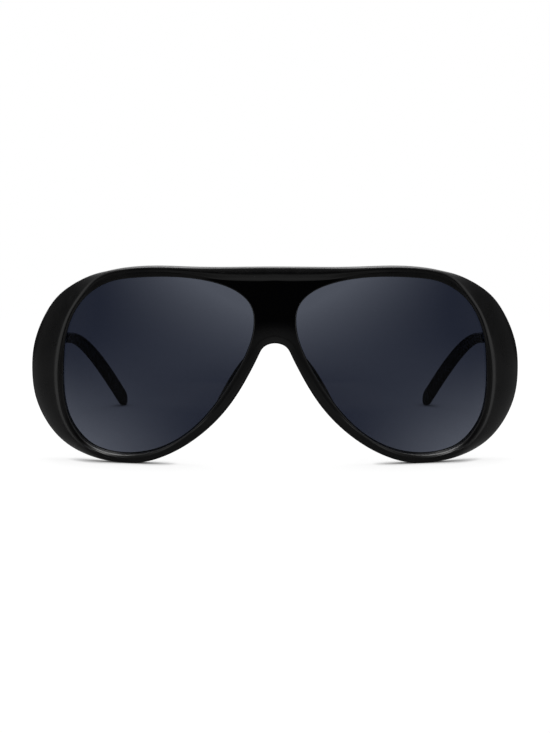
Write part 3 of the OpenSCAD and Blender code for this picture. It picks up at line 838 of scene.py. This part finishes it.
def lens_with_painted_reflection():
    """Cast nylon lens dyed blue-grey in the mass, with a painted reflection whose shade runs in a soft
    diagonal

    Its low index stands for an anti-reflection coat: only a faint gloss lies over what is seen through it.
    """
    material, tree, place = new_material("Cast nylon lens, blue-grey, with painted reflection")
    axes = parts(tree, place)
    # Painted reflection over the lens's even blue-grey dye: the shade is paler towards the upper inner and
    # the lower outer corner, and darker towards the other two
    middle_x, middle_z, reach = 38.3 * MM, 29.1 * MM, 24.5 * MM
    inner = calc(
        tree, "MULTIPLY_ADD", calc(tree, "ABSOLUTE", axes["X"]), -1 / reach, middle_x / reach
    )
    upper = calc(tree, "MULTIPLY_ADD", axes["Z"], 1 / reach, -middle_z / reach)
    bowl = calc(tree, "MULTIPLY_ADD", times(tree, upper, upper), 0.30, 0.17)
    reflection_saddle = calc(tree, "MULTIPLY_ADD", times(tree, inner, upper), 0.70, bowl)
    painted_reflection = calc(tree, "POWER", add(tree, "ShaderNodeClamp", Value=reflection_saddle).outputs[0], 1.3)
    # The mix lays the painted reflection over the dark blue-grey of the dye
    tint = add(
        tree, "ShaderNodeMix", {"data_type": "RGBA"}, Factor=painted_reflection, _6=linear("#202430"), _7=linear("#4d515b")
    )
    shader = add(
        tree, "ShaderNodeBsdfPrincipled",
        Base_Color=tint.outputs[2], Roughness=0.012, IOR=1.27, Transmission_Weight=1,
    )
    add(tree, "ShaderNodeOutputMaterial", Surface=shader.outputs["BSDF"])
    return material


def finished_metal(name, colour, roughness, per_mm):
    """Bare metal, barrel-finished: a soft sheen over a fine grain, with so many grains to the millimetre"""
    material, tree, place = new_material(name)
    grain = noise(tree, place, per_mm, 4, 0.6)
    rough = ramp(tree, grain, 0, 1, roughness * 0.8, roughness * 1.25, "LINEAR")
    bump = add(tree, "ShaderNodeBump", Strength=0.15, Distance=0.02 * MM, Height=grain)
    shader = add(
        tree, "ShaderNodeBsdfPrincipled",
        Base_Color=linear(colour), Metallic=1, Roughness=rough, Normal=bump.outputs["Normal"],
    )
    add(tree, "ShaderNodeOutputMaterial", Surface=shader.outputs["BSDF"])
    return material


# Stage


def direct_ray(tree, path):
    """1 where the camera looks straight or through a lens"""
    return most(tree, path.outputs["Is Camera Ray"], path.outputs["Is Transmission Ray"])


def paper_seen(tree, place, colour):
    """The floor as the camera and the lenses show it: white paper with a thin shadow under the object"""
    nook = add(tree, "ShaderNodeAmbientOcclusion", {"samples": 8}, Distance=4 * MM)
    paper = add(tree, "ShaderNodeBsdfDiffuse", Color=colour)
    open_share = calc(tree, "MULTIPLY", nook.outputs["AO"], 1.27)
    glow = add(tree, "ShaderNodeEmission", Color=(1, 1, 1, 1), Strength=open_share)
    near = add(tree, "ShaderNodeMixShader", _0=0.6, _1=paper.outputs[0], _2=glow.outputs[0])
    white = add(tree, "ShaderNodeEmission", Color=(1, 1, 1, 1), Strength=1)
    radius = add(tree, "ShaderNodeVectorMath", {"operation": "LENGTH"}, _0=place).outputs["Value"]
    far = ramp(tree, radius, 0.2, 0.5, 0, 1)
    return add(tree, "ShaderNodeMixShader", _0=far, _1=near.outputs[0], _2=white.outputs[0]).outputs[0]


def paper_with_painted_light(tree, place):
    """The floor as the gloss shows it, with painted light for the object's reflections: dim before the
    object, bright at the flanks and dim behind
    """
    axes = parts(tree, place)
    y = axes["Y"]
    aside = calc(tree, "ABSOLUTE", axes["X"])
    # Painted light: a bright band lies where the brow band looks, and the floor under the front is painted a
    # little brighter
    painted_strip = times(
        tree, ramp(tree, y, -0.225, -0.19, 0, 0.42), ramp(tree, y, -0.145, -0.115, 1, 0.25),
        ramp(tree, aside, 0.045, 0.09, 1, 0.3),
    )
    painted_pool = most(tree, painted_strip, ramp(tree, y, -0.6, -0.28, 0.05, 0.17))
    painted_pool = calc(tree, "ADD", painted_pool, ramp(tree, y, -0.105, -0.085, 0, 0.12))
    beside = times(tree, ramp(tree, y, -0.105, -0.085, 0, 1), ramp(tree, aside, 0.06, 0.08, 0, 1))
    painted_pool = times(tree, painted_pool, ramp(tree, aside, 0.06, 0.2, 1, 0.6), ramp(tree, beside, 0, 1, 1, 0.57))
    # The painted flank and the painted trail behind are told apart by the heading from the foot of a wing
    out, back = heading(tree, calc(tree, "SUBTRACT", aside, 0.062), calc(tree, "ADD", y, 0.068))
    flank = times(tree, ramp(tree, out, 0.55, 0.95, 0, 0.9), ramp(tree, back, -0.2, 0.12, 1, 0))
    painted_wake = times(tree, ramp(tree, back, -0.05, 0.1, 0, 1), ramp(tree, back, 0.25, 0.8, 0.075, 0.04))
    return add(tree, "ShaderNodeBsdfDiffuse", Color=most(tree, painted_pool, flank, painted_wake)).outputs[0]


def floor(settings):
    """Wide sheet of matt white paper just below the object"""
    bm = bmesh.new()
    bmesh.ops.create_grid(bm, x_segments=1, y_segments=1, size=3000)
    sheet = make_object(bm, "floor", place=Vector((0, 0, -0.05)))
    material, tree, place = new_material("Matt white paper")
    path = add(tree, "ShaderNodeLightPath")
    seen = paper_seen(tree, place, tuple(settings.floor_colour) + (1,))
    plain = add(tree, "ShaderNodeBsdfDiffuse", Color=linear("#8a8a8a"))
    indirect = add(
        tree, "ShaderNodeMixShader",
        _0=path.outputs["Is Glossy Ray"], _1=plain.outputs[0], _2=paper_with_painted_light(tree, place),
    )
    shader = add(tree, "ShaderNodeMixShader", _0=direct_ray(tree, path), _1=indirect.outputs[0], _2=seen)
    add(tree, "ShaderNodeOutputMaterial", Surface=shader.outputs[0])
    sheet.data.materials.append(material)


def world(context):
    """White to the camera and plain light on the object

    In the gloss it is white straight behind and overhead, bright at the flanks and dark before the object.
    """
    sky = bpy.data.worlds.new("Studio")
    context.scene.world = sky
    sky.use_nodes = True
    tree = sky.node_tree
    tree.nodes.clear()
    path = add(tree, "ShaderNodeLightPath")
    way = parts(tree, add(tree, "ShaderNodeTexCoord").outputs["Generated"])
    y, z = way["Y"], way["Z"]
    side = calc(tree, "ABSOLUTE", way["X"])
    out, back = heading(tree, side, y)
    behind = times(tree, ramp(tree, y, 0.75, 0.95, 0, 1), ramp(tree, side, 0.12, 0.35, 1, 0.06))
    over = times(
        tree, ramp(tree, z, 0.3, 0.6, 0, 1), ramp(tree, y, 0.15, 0.5, 0, 1),
        ramp(tree, side, 0.3, 0.6, 1, 0.1),
    )
    dome, zenith = ramp(tree, z, 0.3, 0.85, 0, 0.8), ramp(tree, z, 0.85, 0.97, 0, 11)
    flank = times(
        tree, ramp(tree, out, 0.55, 0.95, 0, 1), ramp(tree, z, 0.7, 0.9, 1, 0),
        ramp(tree, back, -0.05, 0.3, 1, 0),
    )
    front = most(
        tree, ramp(tree, side, 0.1, 0.6, 0.01, 0.044), ramp(tree, side, 0.6, 0.95, 0, 0.08),
        ramp(tree, z, 0.12, 0.3, 0, 0.02),
    )
    gloss = most(tree, behind, over, dome, zenith, flank, front)
    level = add(
        tree, "ShaderNodeMix", {"data_type": "FLOAT"}, Factor=path.outputs["Is Glossy Ray"], _2=0.85, _3=gloss
    )
    lit = add(tree, "ShaderNodeBackground", Strength=level.outputs[0])
    white = add(tree, "ShaderNodeBackground", Color=(1, 1, 1, 1), Strength=1)
    shader = add(
        tree, "ShaderNodeMixShader", _0=direct_ray(tree, path), _1=lit.outputs[0], _2=white.outputs[0]
    )
    add(tree, "ShaderNodeOutputWorld", Surface=shader.outputs[0])


def softbox(context):
    """One wide lamp overhead, which gives the object its soft shading"""
    data = bpy.data.lights.new("Overhead softbox", "AREA")
    data.shape = "RECTANGLE"
    data.size = 0.9
    data.size_y = 0.7
    data.energy = 4
    light = bpy.data.objects.new("Overhead softbox", data)
    light.location = (0, 0.1, 1.2)
    light.rotation_euler = (-light.location).to_track_quat("-Z", "Y").to_euler()
    context.scene.collection.objects.link(light)


def camera(context, settings):
    """Camera at the photograph's angle, aimed at the middle of the front's height"""
    # The photograph is 550 pixels wide, and the camera's focal length is 2459 of them
    image_w, focal_px = 550, 2459
    data = bpy.data.cameras.new("Camera")
    data.sensor_fit = "HORIZONTAL"
    data.sensor_width = 36
    data.lens = focal_px / image_w * data.sensor_width
    data.clip_end = 20
    view = bpy.data.objects.new("Camera", data)
    e = settings.elevation
    aim = Vector((0, front_y * MM, 31 * MM))
    view.location = aim + Vector((0, -math.cos(e), math.sin(e))) * settings.distance
    view.rotation_euler = (math.pi / 2 - e, 0, 0)
    context.scene.collection.objects.link(view)
    context.scene.camera = view
    context.scene.view_settings.view_transform = "Standard"


# Settings, operators and the panel


class FrontSettings(bpy.types.PropertyGroup):
    roughness: FloatProperty(
        name="Roughness", description="Roughness of the tumbled front", default=0.3, min=0, max=1,
        subtype="FACTOR",
    )


class TempleSettings(bpy.types.PropertyGroup):
    roughness: FloatProperty(
        name="Roughness", description="Roughness of the temples", default=0.26, min=0, max=1, subtype="FACTOR"
    )


class StageSettings(bpy.types.PropertyGroup):
    distance: FloatProperty(
        name="Distance", description="Distance of the camera from the front", default=0.75, unit="LENGTH"
    )
    elevation: FloatProperty(
        name="Elevation", description="Height angle of the camera", default=math.radians(6.15),
        unit="ROTATION",
    )
    floor_colour: FloatVectorProperty(
        name="Floor", description="Colour of the floor", default=linear("#f4f4f4")[:3], subtype="COLOR"
    )


class BuildFront(bpy.types.Operator):
    """Builds the one-piece front with its brow band, bridge, rims and side wings"""

    bl_idname = "sunglasses.front"
    bl_label = "Front"

    def execute(self, context):
        steps = 3
        loops = [section(i / steps) for i in range(stations * steps)]
        bm = loft(loops, ring=True, crease=lambda i, k: front_crease(i / steps, k))
        # The half is closed by a wall on the middle plane, which goes before the half is mirrored
        flat = [f for f in bm.faces if max(abs(v.co.x) for v in f.verts) < 0.00005]
        bmesh.ops.delete(bm, geom=flat, context="FACES")
        half = bm.verts[:] + bm.edges[:] + bm.faces[:]
        bmesh.ops.mirror(bm, geom=half, matrix=Matrix.Identity(4), merge_dist=0.0001, axis="X")
        close_mesh(bm)
        piece = make_object(bm, "front_shell")
        subdivide(piece, 2)
        cut_pockets(piece, -1, (1, -1))
        settings = context.scene.sunglasses_front
        black = moulded_black(
            "Cellulose propionate front, moulded and tumbled", settings.roughness, polished_bridge
        )
        put(piece, "front", "front_plastic", black, "front_frame")
        return {"FINISHED"}


class BuildLenses(bpy.types.Operator):
    """Builds both lenses as slices of two balls with one centre"""

    bl_idname = "sunglasses.lenses"
    bl_label = "Lenses"

    def execute(self, context):
        glass = lens_with_painted_reflection()
        steps = 8
        stops = [i / steps for i in range(stations * steps)]
        outline = [opening(u) + opening_out(u) * (groove_d - groove_fit) for u in stops]
        middle = Vector((lens_x, lens_z))
        rings = [0, 0.06, 0.15, 0.25, 0.35, 0.45, 0.55, 0.65, 0.75, 0.84, 0.92, 0.97, 0.995]
        front_o = groove_y + fit
        back_o = front_o + lens_t
        for side in (1, -1):
            loops = [[on_ball(mix(middle, p, r), front_o) for p in outline] for r in rings]
            loops += [[on_ball(p, mix(front_o, back_o, t)) for p in outline] for t in (0.08, 0.92)]
            loops += [[on_ball(mix(middle, p, r), back_o) for p in outline] for r in reversed(rings)]
            bm = loft(loops, poles=True)
            if side < 0:
                mirror_bm(bm)
            name = side_name(side) + "_lens"
            put(make_object(bm, name + "_blank"), "front", "lens_plastic", glass, name)
        return {"FINISHED"}


class BuildTemples(bpy.types.Operator):
    """Builds both temples with their ear hooks, and gives the core wires their material"""

    bl_idname = "sunglasses.temples"
    bl_label = "Temples"

    def execute(self, context):
        settings = context.scene.sunglasses_temples
        black = moulded_black("Cellulose propionate temple, tumbled and polished", settings.roughness)
        wire = finished_metal("Nickel silver core wire, drawn", "#b9b7b2", 0.3, 4)
        sides, count, ends = 48, 100, 12
        body = [(temple_l - end_r) * i / count for i in range(count + 1)]
        tip = [temple_l - end_r * (1 - math.sin(0.5 * math.pi * i / ends)) for i in range(1, ends + 1)]
        for side in (1, -1):
            name = side_name(side) + "_temple"
            bm = loft([temple_loop(s, sides) for s in body + tip])
            if side < 0:
                mirror_bm(bm)
            piece = make_object(bm, name + "_arm")
            cut_pockets(piece, 1, (side,))
            put(piece, side_name(side) + "_arm", "temple_plastic", black, name)
            coat(frame["nodes"][side_name(side) + "_core_wire"], wire)
        return {"FINISHED"}


class BuildHinges(bpy.types.Operator):
    """Gives the hinge leaves, the screws and the nose pads their materials"""

    bl_idname = "sunglasses.hinges"
    bl_label = "Hinges and pads"

    def execute(self, context):
        leaf = finished_metal("Nickel silver hinge leaf, stamped", "#c9c6bf", 0.28, 3)
        screw = finished_metal("Stainless steel screw, turned", "#cfd0d2", 0.22, 5)
        pad = moulded_black("Cellulose propionate nose pad, polished", 0.2)
        for side in (1, -1):
            for part, material in (
                ("front_hinge_leaf", leaf), ("temple_hinge_leaf", leaf), ("hinge_screw", screw),
                ("front_leaf_screws", screw), ("temple_leaf_screws", screw), ("nose_pad", pad),
            ):
                coat(frame["nodes"][side_name(side) + "_" + part], material)
        return {"FINISHED"}


class BuildStage(bpy.types.Operator):
    """Builds the pale floor, the world, the lamp and the camera"""

    bl_idname = "sunglasses.stage"
    bl_label = "Stage"

    def execute(self, context):
        settings = context.scene.sunglasses_stage
        floor(settings)
        world(context)
        softbox(context)
        camera(context, settings)
        return {"FINISHED"}


class SunglassesPanel(bpy.types.Panel):
    """Lists the pieces of the sunglasses"""

    bl_label = "Sunglasses"
    bl_idname = "VIEW3D_PT_sunglasses"
    bl_space_type = "VIEW_3D"
    bl_region_type = "UI"
    bl_category = "Sunglasses"

    def draw(self, context):
        scene = context.scene
        for operator in operators:
            self.layout.operator(operator.bl_idname)
        for settings in (scene.sunglasses_front, scene.sunglasses_temples, scene.sunglasses_stage):
            for name in settings.__annotations__:
                self.layout.prop(settings, name)


groups = (FrontSettings, TempleSettings, StageSettings)
operators = (BuildStage, BuildFront, BuildLenses, BuildTemples, BuildHinges)


def register():
    for cls in groups + operators + (SunglassesPanel,):
        bpy.utils.register_class(cls)
    bpy.types.Scene.sunglasses_front = PointerProperty(type=FrontSettings)
    bpy.types.Scene.sunglasses_temples = PointerProperty(type=TempleSettings)
    bpy.types.Scene.sunglasses_stage = PointerProperty(type=StageSettings)


def unregister():
    del bpy.types.Scene.sunglasses_front
    del bpy.types.Scene.sunglasses_temples
    del bpy.types.Scene.sunglasses_stage
    for cls in reversed(groups + operators + (SunglassesPanel,)):
        bpy.utils.unregister_class(cls)


def main():
    register()
    bpy.ops.sunglasses.stage()
    bpy.ops.sunglasses.front()
    bpy.ops.sunglasses.lenses()
    bpy.ops.sunglasses.temples()
    bpy.ops.sunglasses.hinges()


if __name__ == "__main__":
    main()
